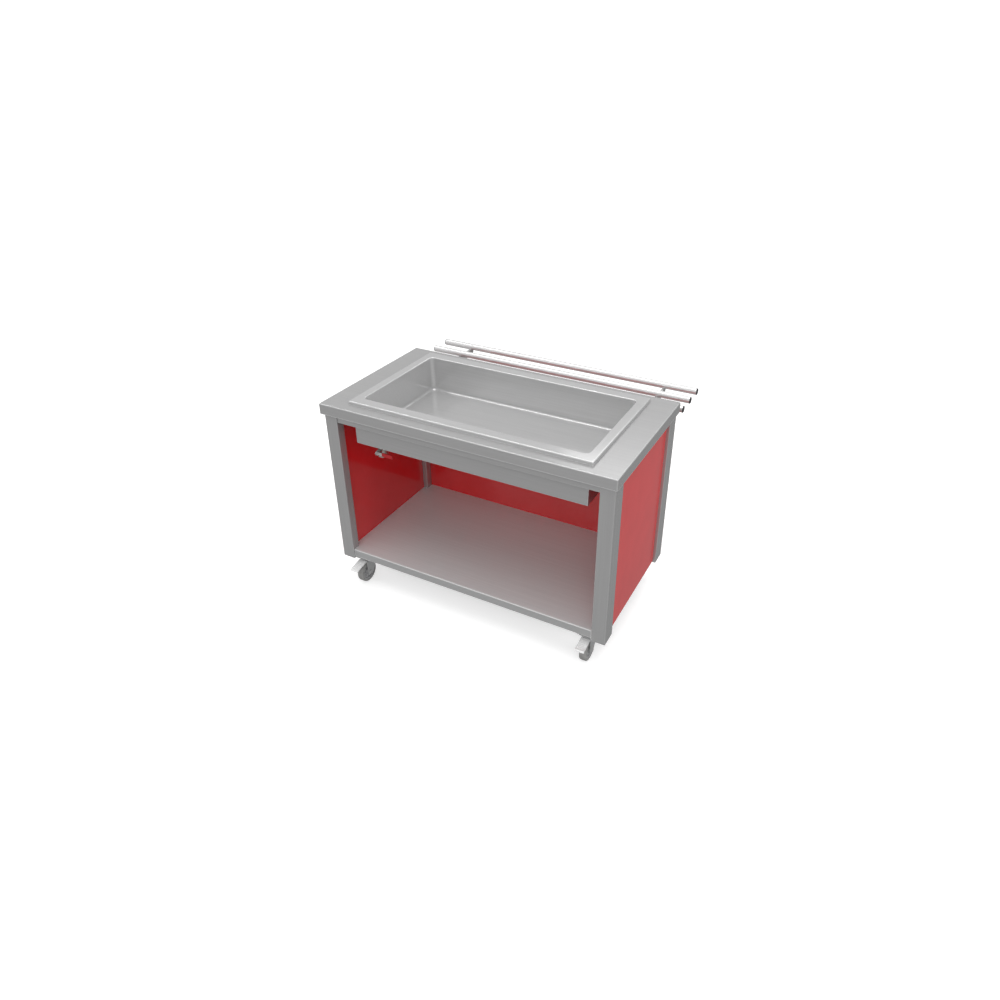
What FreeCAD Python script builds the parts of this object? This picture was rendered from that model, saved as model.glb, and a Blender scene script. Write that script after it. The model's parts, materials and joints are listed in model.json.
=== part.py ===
import FreeCAD, Part
import os
import re
import Sketcher
from FreeCAD import Placement, Rotation, Vector

# Ice display counter on castors: a framed stainless cabinet with an insulated ice well in its
# worktop, a storage shelf below, board panels on three sides and a tray slide along the back.
# Millimetres, +Z up, +X along the counter, the open service side faces -Y. The origin is on the
# floor, below the middle of the whole outline at rest.

SIZES = {
    # Worktop: folded sheet with an apron hemmed inward at its foot.
    "worktop_length": 1300,
    "worktop_depth": 700,
    "worktop_height": 900,
    "worktop_sheet": 1.5,
    "worktop_round": 4,
    "apron_height": 46,
    "apron_hem": 6,
    # Ice well: tub with a raised rim that stands on the worktop, set in from the worktop's edges.
    "well_margin_side": 152.5,
    "well_margin_front": 100,
    "well_margin_back": 100,
    "well_depth": 158,
    "well_sheet": 1.5,
    "well_corner": 20,
    "well_cove": 12,
    "rim_height": 15,
    "rim_side": 40,
    "rim_front": 50,
    "rim_round": 5,
    "lip_round": 4,
    "well_clearance": 4,
    # Insulated casing round the tub, clear of the rails.
    "casing_sheet": 1,
    "casing_round": 2,
    "casing_gap_side": 22,
    "casing_gap_front": 14.5,
    "casing_gap_back": 12.5,
    "casing_gap_floor": 30,
    "foam_clearance": 0.3,
    # Frame: tube legs, each with a flange that covers a board, flat upper rails and a bar.
    "overhang_side": 10,
    "overhang_front": 16,
    "overhang_back": 7,
    "leg_width": 60,
    "leg_depth": 40,
    "leg_reach": 77,
    "leg_wall": 2,
    "leg_round": 3,
    "rail_height": 79,
    "rail_wall": 1.5,
    "rail_setback": 5,
    "back_bar": 8,
    "plug_height": 16,
    "plug_clearance": 0.2,
    # Board panels between the legs.
    "panel_recess": 13,
    "panel_thickness": 25,
    "panel_bottom": 140,
    "panel_gap": 0.5,
    # Storage shelf and the two bearers below it.
    "shelf_height": 180,
    "lip_rise": 9,
    "shelf_sheet": 1.5,
    "shelf_round": 4,
    "shelf_gap": 0.5,
    "shelf_setback": 5,
    "bearer_width": 50,
    "bearer_wall": 2,
    "pad_thickness": 6,
    "pad_reach": 47,
    "pad_half": 54,
    "tap_depth": 5,
    # Drain through the floor of the well.
    "drain_inset_side": 40,
    "drain_inset_front": 40,
    "drain_radius": 15,
    "drain_bore": 11,
    "drain_flange": 25,
    "drain_flange_thickness": 2,
    "gasket_thickness": 1,
    "locknut_radius": 24,
    "locknut_thickness": 8,
    "strainer_radius": 20,
    "strainer_thickness": 1.5,
    "strainer_hole": 2.6,
    "strainer_pitch": 11,
    "drain_clearance": 0.5,
    "thread_clearance": 0.05,
    # Ball valve below the well: bore upright, stem facing the service side.
    "valve_drop": 56,
    "valve_half": 30,
    "valve_collar": 10,
    "valve_radius": 21,
    "valve_hex": 21.5,
    "valve_bore": 11,
    "socket_depth": 10,
    "ball_radius": 18,
    "ball_clearance": 0.2,
    "boss_radius": 11,
    "boss_reach": 30,
    "stem_radius": 5,
    "stem_reach": 47,
    "stem_depth": 13,
    "stem_clearance": 0.05,
    "packing_radius": 10,
    "packing_thickness": 6,
    "lever_gap": 2,
    "lever_thickness": 3,
    "lever_hub": 9,
    "lever_length": 78,
    "lever_width": 12,
    "grip_start": 26,
    "grip_wall": 2,
    "grip_round": 2,
    "lever_nut_radius": 8,
    "lever_nut_thickness": 4,
    # Tray slide: three tubes on two plate brackets.
    "tray_radius": 15,
    "tray_wall": 1.5,
    "tray_drop": 59,
    "tray_inset": 60,
    "tray_pitch": 100,
    "cap_flange": 3,
    "cap_spigot": 14,
    "cap_clearance": 0.2,
    "bracket_inset": 150,
    "bracket_thickness": 8,
    "bracket_below": 8,
    "bracket_tip": 22,
    "bracket_root": 60,
    "bracket_past": 8,
    "flange_thickness": 5,
    "flange_half": 34,
    "flange_above": 42,
    "saddle_clearance": 0.1,
    "bracket_bolt_x": 22,
    "bracket_bolt_low": 8,
    "bracket_bolt_high": 32,
    "bracket_bolt_radius": 4,
    "bracket_bolt_past": 1,
    "bracket_head_radius": 7.5,
    "bracket_head": 5.5,
    # Swivel castors: plate, fork, axle, hub and tyre.
    "castor_height": 128,
    "castor_inset_side": 98,
    "castor_inset_front": 91,
    "castor_trail": 36,
    "castor_plate": 4,
    "castor_plate_x": 42.5,
    "castor_plate_y": 52.5,
    "castor_bolt_x": 30,
    "castor_bolt_y": 40,
    "castor_bolt_radius": 4,
    "castor_head_radius": 7.5,
    "castor_head": 5,
    "bolt_clearance": 0.5,
    "race_radius": 24,
    "race_height": 8.3,
    "swivel_gap": 0.3,
    "cup_radius": 22,
    "cup_height": 3.4,
    "crown_sheet": 4,
    "crown_back": 26,
    "crown_front": 36,
    "crown_skirt": 14,
    "kingpin_radius": 6,
    "kingpin_clearance": 0.1,
    "rivet_radius": 10,
    "rivet_height": 3.5,
    "fork_sheet": 3,
    "fork_gap": 18.3,
    "fork_ear": 52,
    "fork_ear_drop": 16,
    "fork_boss": 14,
    "wheel_radius": 50,
    "wheel_width": 30,
    "tyre_depth": 10,
    "tyre_round": 5,
    "tyre_clearance": 0.05,
    "hub_half": 18,
    "hub_radius": 13,
    "hub_rim": 13,
    "hub_rim_depth": 6,
    "web_half": 5,
    "axle_radius": 5,
    "axle_clearance": 0.05,
    "axle_head_radius": 8.5,
    "axle_head": 5,
    # Brake pedals of the two front castors.
    "pedal_reach": 121,
    "pedal_pivot_y": 45,
    "pedal_pivot_drop": 21,
    "pedal_barrel": 5.5,
    "pedal_pin": 3,
    "pedal_sheet": 3.5,
    "pedal_rise": 5,
    "pedal_slope": 12,
    "pedal_lip": 7,
    "pedal_half": 20,
    "pedal_side_gap": 0.5,
    "pedal_ear_gap": 3,
    "pedal_bend": 5,
    "shoe_start": 20,
    "shoe_length": 8,
    "shoe_drop": 10,
    "shoe_half": 12,
    # How far every cutter runs past the faces that it cuts.
    "overrun": 1,
}

PLACES = {
    "half_length": "worktop_length / 2",
    "tray_reach": "tray_inset + 2 * tray_pitch + tray_radius",
    "middle_y": "(pedal_reach - castor_inset_front - tray_reach) / 2",
    "front_y": "middle_y - worktop_depth / 2",
    "back_y": "middle_y + worktop_depth / 2",
    "deck_z": "worktop_height - worktop_sheet",
    "apron_z": "worktop_height - apron_height",
    "rim_z": "worktop_height + rim_height",
    "basin_z": "rim_z - well_depth",
    "basin_x": "half_length - well_margin_side",
    "basin_front_y": "front_y + well_margin_front",
    "basin_back_y": "back_y - well_margin_back",
    "leg_out_x": "half_length - overhang_side",
    "leg_in_x": "leg_out_x - leg_width",
    "leg_front_y": "front_y + overhang_front",
    "leg_z": "castor_height + pad_thickness",
    "bay_front_y": "leg_front_y + leg_depth",
    "bay_back_y": "back_y - overhang_back - leg_reach",
    "panel_out_x": "leg_out_x - panel_recess",
    "panel_in_x": "panel_out_x - panel_thickness",
    "panel_in_y": "bay_back_y + leg_depth",
    "panel_out_y": "panel_in_y + panel_thickness",
    "rail_depth": "leg_width - panel_recess - panel_thickness",
    "rail_z": "deck_z - rail_height",
    "rail_front_y": "leg_front_y + rail_setback",
    "bar_y": "panel_in_y - back_bar",
    "casing_x": "basin_x + well_sheet + casing_gap_side + casing_sheet",
    "casing_front_y": "rail_front_y + rail_depth + casing_gap_front",
    "casing_back_y": "bar_y - casing_gap_back",
    "casing_z": "basin_z - well_sheet - casing_gap_floor - casing_sheet",
    "lip_z": "leg_z + lip_rise",
    "lip_front_y": "leg_front_y + shelf_setback",
    "castor_x": "half_length - castor_inset_side",
    "castor_front_y": "front_y + castor_inset_front",
    "castor_back_y": "back_y - castor_inset_front",
    "drain_x": "drain_inset_side - basin_x",
    "drain_y": "basin_front_y + drain_inset_front",
    "valve_z": "casing_z - valve_drop",
    "stem_y": "drain_y - stem_reach",
    "lever_y": "drain_y - boss_reach - packing_thickness - lever_gap",
    "tray_z": "worktop_height - tray_drop",
    "tray_front_y": "back_y + tray_inset",
    "bracket_x": "half_length - bracket_inset",
    "bracket_top": "tray_z - bracket_below",
    "flange_y": "panel_out_y + flange_thickness",
    "crown_z": "castor_height - castor_plate - race_height - swivel_gap - cup_height",
    "crown_under_z": "crown_z - crown_sheet",
    "pivot_z": "castor_height - pedal_pivot_drop",
    "rim_radius": "wheel_radius - tyre_depth",
}

WORD = re.compile(r"[a-z][a-z_]*")
TURNS = {
    "x": Rotation(Vector(0, 1, 0), 90),
    "y": Rotation(Vector(1, 0, 0), -90),
    "z": Rotation(),
}
CORNERS = {
    "front_left": ("-castor_x", "castor_front_y"),
    "front_right": ("castor_x", "castor_front_y"),
    "back_left": ("-castor_x", "castor_back_y"),
    "back_right": ("castor_x", "castor_back_y"),
}
LEG_STARTS = {"front": "leg_front_y", "back": "bay_back_y"}

doc = FreeCAD.newDocument("ice_display_counter")
sheet = doc.addObject("Spreadsheet::Sheet", "Sizes")
for row, (alias, number) in enumerate(SIZES.items(), start=1):
    sheet.set(f"A{row}", alias)
    sheet.set(f"B{row}", str(number))
    sheet.setAlias(f"B{row}", alias)
for row, (alias, formula) in enumerate(PLACES.items(), start=1):
    sheet.set(f"C{row}", alias)
    sheet.set(f"D{row}", "=" + formula)
    sheet.setAlias(f"D{row}", alias)
doc.recompute()

nodes = []


def linked(formula):
    """A formula in sheet names, written as links to the sheet's cells."""
    return WORD.sub(lambda hit: "Sizes." + hit.group(0), formula)


def bind(thing, prop, formula):
    thing.setExpression(prop, linked(formula))


def value(formula):
    return float(sheet.evalExpression(linked(formula)))


def place(thing, spots):
    """Bind a placement to three formulas."""
    for axis, formula in zip("xyz", spots):
        bind(thing, f"Placement.Base.{axis}", formula)


def node(label, thing):
    """Name a finished sub-part; the label also names its file."""
    thing.Label = label
    nodes.append(thing)
    return thing


def mirrored(low, high, side):
    """A span along X on the right side, or its mirror image on the left."""
    if side == "right":
        return low, high
    return f"-({high})", f"-({low})"


def box(name, x, y, z):
    """A block between a pair of formulas on each axis."""
    block = doc.addObject("Part::Box", name)
    for size, (low, high) in zip(("Length", "Width", "Height"), (x, y, z)):
        bind(block, size, f"({high}) - ({low})")
    place(block, (x[0], y[0], z[0]))
    return block


def along(kind, name, axis, across, span, radius_name, radius):
    """A bar along one axis; across gives its place on the two other axes."""
    bar = doc.addObject(kind, name)
    bar.Placement = Placement(Vector(), TURNS[axis])
    bind(bar, radius_name, radius)
    bind(bar, "Height", f"({span[1]}) - ({span[0]})")
    spots = list(across)
    spots.insert("xyz".index(axis), span[0])
    place(bar, spots)
    return bar


def rod(name, axis, across, span, radius):
    return along("Part::Cylinder", name, axis, across, span, "Radius", radius)


def hexagon(name, axis, across, span, radius):
    return along("Part::Prism", name, axis, across, span, "Circumradius", radius)


def ball(name, axis, centre, radius):
    """A sphere with its poles on one axis."""
    sphere = doc.addObject("Part::Sphere", name)
    sphere.Placement = Placement(Vector(), TURNS[axis])
    bind(sphere, "Radius", radius)
    place(sphere, centre)
    return sphere


def fuse(name, *pieces):
    joined = doc.addObject("Part::MultiFuse", name)
    joined.Shapes = list(pieces)
    joined.Refine = True
    return joined


def cut(name, base, *tools):
    """One piece less one or more cutters."""
    rest = doc.addObject("Part::Cut", name)
    rest.Base = base
    rest.Tool = tools[0] if len(tools) == 1 else fuse(name + "_cutters", *tools)
    return rest


def group(name, pieces):
    """Separate solids of one kind that share a node."""
    kit = doc.addObject("Part::Compound", name)
    kit.Links = list(pieces)
    return kit


def soften(name, base, radius, chosen):
    """Round the edges of a piece that the chosen test picks."""
    doc.recompute()
    rounded = doc.addObject("Part::Fillet", name)
    rounded.Base = base
    size = value(radius)
    picked = [index for index, edge in enumerate(base.Shape.Edges, start=1) if chosen(edge)]
    rounded.Edges = [(index, size, size) for index in picked]
    return rounded


def upright(edge):
    """A straight edge that runs along Z."""
    if not isinstance(edge.Curve, Part.Line):
        return False
    return abs(edge.Curve.Direction.z) > abs(edge.Curve.Direction.x) + abs(edge.Curve.Direction.y)


def level(formula):
    """A test for edges that lie flat at one height."""
    height = value(formula)
    slack = value("thread_clearance")
    return lambda edge: max(abs(edge.BoundBox.ZMin - height), abs(edge.BoundBox.ZMax - height)) < slack


def outline(body, plane, name, points):
    """A closed sketch of straight runs through points given as formulas."""
    sketch = body.newObject("Sketcher::SketchObject", name)
    support = next(item for item in body.Origin.OriginFeatures if item.Role == plane)
    sketch.AttachmentSupport = (support, [""])
    sketch.MapMode = "FlatFace"
    spots = [Vector(value(across), value(up), 0) for across, up in points]
    for start, end in zip(spots, spots[1:] + spots[:1]):
        sketch.addGeometry(Part.LineSegment(start, end), False)
    for index, (across, up) in enumerate(points):
        following = (index + 1) % len(points)
        sketch.addConstraint(Sketcher.Constraint("Coincident", index, 2, following, 1))
        for kind, formula in (("DistanceX", across), ("DistanceY", up)):
            rule = Sketcher.Constraint(kind, -1, 1, index, 1, value(formula))
            sketch.setExpression(f"Constraints[{sketch.addConstraint(rule)}]", linked(formula))
    return sketch


def slab(name, points, span, at):
    """A side outline in Y and Z, padded along X over a span, with its own zero at a Y and Z."""
    body = doc.addObject("PartDesign::Body", name)
    pad = body.newObject("PartDesign::Pad", name + "_pad")
    pad.Profile = outline(body, "YZ_Plane", name + "_outline", points)
    bind(pad, "Length", f"({span[1]}) - ({span[0]})")
    place(body, (span[0], at[0], at[1]))
    return body


def turned(name, points, at):
    """A half section of X and radius, turned about X, with its middle at a point."""
    body = doc.addObject("PartDesign::Body", name)
    sketch = outline(body, "XY_Plane", name + "_section", points)
    turn = body.newObject("PartDesign::Revolution", name + "_turn")
    turn.Profile = sketch
    turn.ReferenceAxis = (sketch, ["H_Axis"])
    turn.Angle = 360
    place(body, at)
    return body


def tub(name, grow, sink, top):
    """The well's hollow, grown by a wall on its sides and sunk by one at its floor."""
    block = box(
        name + "_block",
        (f"-basin_x - {grow}", f"basin_x + {grow}"),
        (f"basin_front_y - {grow}", f"basin_back_y + {grow}"),
        (f"basin_z - {sink}", top),
    )
    sides = soften(name + "_sides", block, f"well_corner + {grow}", upright)
    return soften(name, sides, f"well_cove + {grow}", level(f"basin_z - {sink}"))


def worktop():
    """Folded top with its four aprons and the cut-out for the tub."""
    full = box(
        "worktop_full",
        ("-half_length", "half_length"),
        ("front_y", "back_y"),
        ("apron_z", "worktop_height"),
    )
    top_edges = level("worktop_height")
    skin = soften("worktop_skin", full, "worktop_round", lambda edge: upright(edge) or top_edges(edge))
    hollow = box(
        "worktop_hollow",
        ("worktop_sheet - half_length", "half_length - worktop_sheet"),
        ("front_y + worktop_sheet", "back_y - worktop_sheet"),
        ("apron_z + worktop_sheet", "deck_z"),
    )
    under_edges = level("deck_z")
    hollow = soften("worktop_lining", hollow, "worktop_round - worktop_sheet",
                    lambda edge: upright(edge) or under_edges(edge))
    foot = box(
        "worktop_foot",
        ("apron_hem - half_length", "half_length - apron_hem"),
        ("front_y + apron_hem", "back_y - apron_hem"),
        ("apron_z - overrun", "apron_z + worktop_sheet + overrun"),
    )
    reach = "(well_sheet + well_clearance)"
    opening = box(
        "worktop_opening",
        (f"-basin_x - {reach}", f"basin_x + {reach}"),
        (f"basin_front_y - {reach}", f"basin_back_y + {reach}"),
        ("deck_z - overrun", "worktop_height + overrun"),
    )
    node("worktop", cut("worktop_folded", skin, hollow, foot, opening))


def ice_well():
    """Tub and raised rim in one sheet; the rim's skirt stands on the worktop."""
    cap = box(
        "rim_cap",
        ("-basin_x - rim_side", "basin_x + rim_side"),
        ("basin_front_y - rim_front", "basin_back_y + rim_front"),
        ("worktop_height", "rim_z"),
    )
    top_edges = level("rim_z")
    cap = soften("rim_skin", cap, "rim_round", lambda edge: upright(edge) or top_edges(edge))
    outside = tub("tub_outside", "well_sheet", "well_sheet", "rim_z")
    inside = tub("tub_inside", "0", "0", "rim_z + overrun")
    under = box(
        "rim_under",
        ("well_sheet - basin_x - rim_side", "basin_x + rim_side - well_sheet"),
        ("basin_front_y - rim_front + well_sheet", "basin_back_y + rim_front - well_sheet"),
        ("worktop_height - overrun", "rim_z - well_sheet"),
    )
    under_edges = level("rim_z - well_sheet")
    under = soften("rim_lining", under, "rim_round - well_sheet",
                   lambda edge: upright(edge) or under_edges(edge))
    shell = fuse("well_shell", cut("rim_sheet", cap, under), outside)
    drain = rod(
        "well_drain_hole",
        "z",
        ("drain_x", "drain_y"),
        ("basin_z - well_sheet - overrun", "basin_z + overrun"),
        "drain_radius + drain_clearance",
    )
    well = cut("well_open", shell, inside, drain)
    reach = value("basin_x + lip_round")

    def at_mouth(edge):
        return max(-edge.BoundBox.XMin, edge.BoundBox.XMax) < reach

    backed = soften("well_backed", well, "lip_round - well_sheet",
                    lambda edge: at_mouth(edge) and under_edges(edge))
    node("ice_well", soften("well_lipped", backed, "lip_round",
                            lambda edge: at_mouth(edge) and top_edges(edge)))


def casing():
    """Outer casing below the worktop and the foam between it and the tub."""
    full = box(
        "casing_full",
        ("-casing_x", "casing_x"),
        ("casing_front_y", "casing_back_y"),
        ("casing_z", "deck_z"),
    )
    skin = soften("casing_skin", full, "casing_round", upright)
    hollow = box(
        "casing_hollow",
        ("casing_sheet - casing_x", "casing_x - casing_sheet"),
        ("casing_front_y + casing_sheet", "casing_back_y - casing_sheet"),
        ("casing_z + casing_sheet", "deck_z + overrun"),
    )
    outlet = rod(
        "casing_outlet",
        "z",
        ("drain_x", "drain_y"),
        ("casing_z - overrun", "casing_z + casing_sheet + overrun"),
        "drain_radius + drain_clearance",
    )
    node("well_casing", cut("casing_folded", skin, hollow, outlet))
    inset = "(casing_sheet + foam_clearance)"
    foam = box(
        "foam_full",
        (f"{inset} - casing_x", f"casing_x - {inset}"),
        (f"casing_front_y + {inset}", f"casing_back_y - {inset}"),
        ("casing_z + casing_sheet", "deck_z"),
    )
    grow = "(well_sheet + foam_clearance)"
    core = box(
        "foam_core",
        (f"-basin_x - {grow}", f"basin_x + {grow}"),
        (f"basin_front_y - {grow}", f"basin_back_y + {grow}"),
        ("basin_z - well_sheet", "deck_z + overrun"),
    )
    shaft = rod(
        "foam_shaft",
        "z",
        ("drain_x", "drain_y"),
        ("casing_z", "basin_z"),
        "locknut_radius + well_clearance",
    )
    node("well_insulation", cut("foam_block", foam, core, shaft))


def leg_block(name, corner, inset, z):
    """A leg's plan drawn in by an inset: a tube, and the flange that runs on from its outer side."""
    end, side = corner.split("_")
    start = LEG_STARTS[end]
    outer = f"leg_out_x - ({inset})"
    tube = box(
        f"{name}_main",
        mirrored(f"leg_in_x + {inset}", outer, side),
        (f"{start} + {inset}", f"{start} + leg_depth - ({inset})"),
        z,
    )
    flange = box(
        f"{name}_flange",
        mirrored(f"panel_out_x + {inset}", outer, side),
        (f"{start} + {inset}", f"{start} + leg_reach - ({inset})"),
        z,
    )
    return fuse(name, tube, flange)


def leg_corner(end):
    """A test for a leg's upright edges, all but the crease between its tube and its flange."""
    across = value("panel_out_x")
    along_y = value(f"{LEG_STARTS[end]} + leg_depth")
    slack = value("thread_clearance")

    def outer(edge):
        spot = edge.BoundBox.Center
        return upright(edge) and max(abs(abs(spot.x) - across), abs(spot.y - along_y)) > slack

    return outer


def frame():
    """Four legs with plugs in their feet, the rails that tie their tops and a bar at the back."""
    plugs = []
    for name in CORNERS:
        full = leg_block(f"leg_{name}_full", name, "0", ("leg_z", "deck_z"))
        skin = soften(f"leg_{name}_skin", full, "leg_round", leg_corner(name.split("_")[0]))
        bore = leg_block(f"leg_{name}_bore", name, "leg_wall", ("leg_z - overrun", "deck_z + overrun"))
        node(f"leg_{name}", cut(f"leg_{name}_tube", skin, bore))
        inset = "leg_wall + plug_clearance"
        plugs.append(leg_block(f"leg_{name}_plug", name, inset, ("leg_z", "leg_z + plug_height")))
    node("leg_plugs", group("plug_kit", plugs))
    wide = ("-leg_in_x", "leg_in_x")
    deep = ("bay_front_y", "bay_back_y")
    upper_rail("front", "x", wide, ("rail_front_y", "rail_front_y + rail_depth"))
    bar = box("bar_full", wide, ("bar_y", "panel_in_y"), ("rail_z", "deck_z"))
    taps = bracket_holes("bar", ("bar_y - overrun", "panel_in_y + overrun"), "thread_clearance")
    node("frame_rail_back", cut("bar_tapped", bar, *taps))
    for side in ("left", "right"):
        upper_rail(side, "y", mirrored("leg_in_x", "panel_in_x", side), deep)


def upper_rail(name, axis, x, y):
    """A flat tube along one axis, hard under the worktop."""
    full = box(f"rail_{name}_full", x, y, ("rail_z", "deck_z"))
    past = {True: "-overrun", False: "rail_wall"}
    ends_x = past[axis == "x"]
    ends_y = past[axis == "y"]
    bore = box(
        f"rail_{name}_bore",
        (f"{x[0]} + {ends_x}", f"{x[1]} - {ends_x}"),
        (f"{y[0]} + {ends_y}", f"{y[1]} - {ends_y}"),
        ("rail_z + rail_wall", "deck_z - rail_wall"),
    )
    node(f"frame_rail_{name}", cut(f"rail_{name}_tube", full, bore))


def bracket_spots():
    """Centres of the bolts that hold the tray brackets: name, X and Z."""
    for side, sign in (("left", "-"), ("right", "")):
        for shift, offset in (("inner", "- bracket_bolt_x"), ("outer", "+ bracket_bolt_x")):
            for row in ("low", "high"):
                x = f"{sign}(bracket_x {offset})"
                yield f"{side}_{shift}_{row}", x, f"tray_z + bracket_bolt_{row}"


def bracket_holes(name, span, clearance="bolt_clearance"):
    radius = f"bracket_bolt_radius + {clearance}"
    return [rod(f"{name}_hole_{spot}", "y", (x, z), span, radius) for spot, x, z in bracket_spots()]


def panels():
    """Boards between the legs on the two ends and the customer side."""
    height = ("panel_bottom", "deck_z")
    for side in ("left", "right"):
        x = mirrored("panel_in_x", "panel_out_x", side)
        y = ("bay_front_y + panel_gap", "bay_back_y - panel_gap")
        node(f"panel_{side}", box(f"panel_{side}_board", x, y, height))
    x = ("panel_gap - panel_out_x", "panel_out_x - panel_gap")
    board = box("panel_back_board", x, ("panel_in_y", "panel_out_y"), height)
    holes = bracket_holes("panel_back", ("panel_in_y - overrun", "panel_out_y + overrun"))
    node("panel_back", cut("panel_back_drilled", board, *holes))


def shelf_block(name, inset, low, high):
    """The shelf's cross-shaped plan, notched round the legs, drawn in by an inset."""
    middle = box(
        f"{name}_middle",
        (f"shelf_gap - leg_in_x + {inset}", f"leg_in_x - shelf_gap - {inset}"),
        (f"lip_front_y + {inset}", f"panel_in_y - {inset}"),
        (low, high),
    )
    ends = box(
        f"{name}_ends",
        (f"{inset} - panel_in_x", f"panel_in_x - {inset}"),
        (f"bay_front_y + shelf_gap + {inset}", f"bay_back_y - shelf_gap - {inset}"),
        (low, high),
    )
    return fuse(name, middle, ends)


def shelf():
    """Folded shelf with lips turned down, and the two bearers that carry the castors."""
    full = shelf_block("shelf_full", "0", "lip_z", "shelf_height")
    under = "shelf_height - shelf_sheet"
    hollow = shelf_block("shelf_hollow", "shelf_sheet", "lip_z - overrun", under)
    front = value("lip_front_y + shelf_sheet + shelf_gap")

    def at_front(edge):
        return edge.BoundBox.YMax < front

    top_edges = level("shelf_height")
    under_edges = level(under)
    skin = soften("shelf_skin", full, "shelf_round",
                  lambda edge: at_front(edge) and top_edges(edge))
    lining = soften("shelf_lining", hollow, "shelf_round - shelf_sheet",
                    lambda edge: at_front(edge) and under_edges(edge))
    node("storage_shelf", cut("shelf_folded", skin, lining))
    for side in ("left", "right"):
        bearer(side)


def bearer(side):
    """A tube below one end of the shelf, with a tapped pad over each castor."""
    x = mirrored("castor_x - bearer_width / 2", "castor_x + bearer_width / 2", side)
    y = ("lip_front_y + shelf_round", "panel_in_y - shelf_sheet")
    z = ("leg_z", "shelf_height - shelf_sheet")
    full = box(f"bearer_{side}_full", x, y, z)
    bore = box(
        f"bearer_{side}_bore",
        (f"{x[0]} + bearer_wall", f"{x[1]} - bearer_wall"),
        (f"{y[0]} - overrun", f"{y[1]} + overrun"),
        (f"{z[0]} + bearer_wall", f"{z[1]} - bearer_wall"),
    )
    pads = []
    holes = []
    for end in ("front", "back"):
        middle = f"castor_{end}_y"
        pads.append(
            box(
                f"pad_{end}_{side}",
                mirrored("castor_x - pad_reach", "castor_x + pad_reach", side),
                (f"{middle} - pad_half", f"{middle} + pad_half"),
                ("castor_height", "leg_z"),
            )
        )
        for spot, across in bolt_spots(f"{end}_{side}"):
            span = ("castor_height - overrun", "castor_height + tap_depth")
            radius = "castor_bolt_radius + thread_clearance"
            holes.append(rod(f"pad_hole_{spot}", "z", across, span, radius))
    tube = cut(f"bearer_{side}_tube", full, bore)
    welded = fuse(f"bearer_{side}_welded", tube, *pads)
    node(f"castor_bearer_{side}", cut(f"bearer_{side}_tapped", welded, *holes))


def bolt_spots(corner):
    """Centres of the four bolts of one castor plate."""
    x, y = CORNERS[corner]
    for row, up in enumerate(("- castor_bolt_y", "+ castor_bolt_y")):
        for column, out in enumerate(("- castor_bolt_x", "+ castor_bolt_x")):
            yield f"{corner}_{row}{column}", (f"{x} {out}", f"{y} {up}")


def drain():
    """Flanged outlet in the well's floor with its gasket, locknut and strainer."""
    at = ("drain_x", "drain_y")
    seat = "basin_z + gasket_thickness"
    ring = rod("gasket_disc", "z", at, ("basin_z", seat), "drain_flange")
    hole = rod("gasket_hole", "z", at, ("basin_z - overrun", f"{seat} + overrun"),
               "drain_radius + drain_clearance")
    node("drain_gasket", cut("gasket_ring", ring, hole))
    top = f"{seat} + drain_flange_thickness"
    foot = "valve_z + valve_half - socket_depth + thread_clearance"
    flange = rod("outlet_flange", "z", at, (seat, top), "drain_flange")
    tail = rod("outlet_tail", "z", at, (foot, top), "drain_radius")
    bore = rod("outlet_bore", "z", at, (f"{foot} - overrun", f"{top} + overrun"), "drain_bore")
    node("drain_outlet", cut("outlet_turned", fuse("outlet_blank", flange, tail), bore))
    under = "basin_z - well_sheet"
    base = f"{under} - locknut_thickness"
    nut = hexagon("locknut_blank", "z", at, (base, under), "locknut_radius")
    thread = rod("locknut_thread", "z", at, (f"{base} - overrun", f"{under} + overrun"),
                 "drain_radius + thread_clearance")
    node("drain_locknut", cut("locknut_tapped", nut, thread))
    disc = rod("strainer_disc", "z", at, (top, f"{top} + strainer_thickness"), "strainer_radius")
    holes = []
    for row, (out, up) in enumerate(strainer_shares()):
        spot = (f"drain_x + strainer_pitch * {out}", f"drain_y + strainer_pitch * {up}")
        span = (f"{top} - overrun", f"{top} + strainer_thickness + overrun")
        holes.append(rod(f"strainer_hole_{row}", "z", spot, span, "strainer_hole"))
    node("drain_strainer", cut("strainer_pierced", disc, *holes))


def strainer_shares():
    """One hole in the middle and six round it, as shares of their pitch."""
    around = [Rotation(Vector(0, 0, 1), 60 * turn).multVec(Vector(1, 0, 0)) for turn in range(6)]
    return [(0, 0)] + [(round(spot.x, 6), round(spot.y, 6)) for spot in around]


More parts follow.
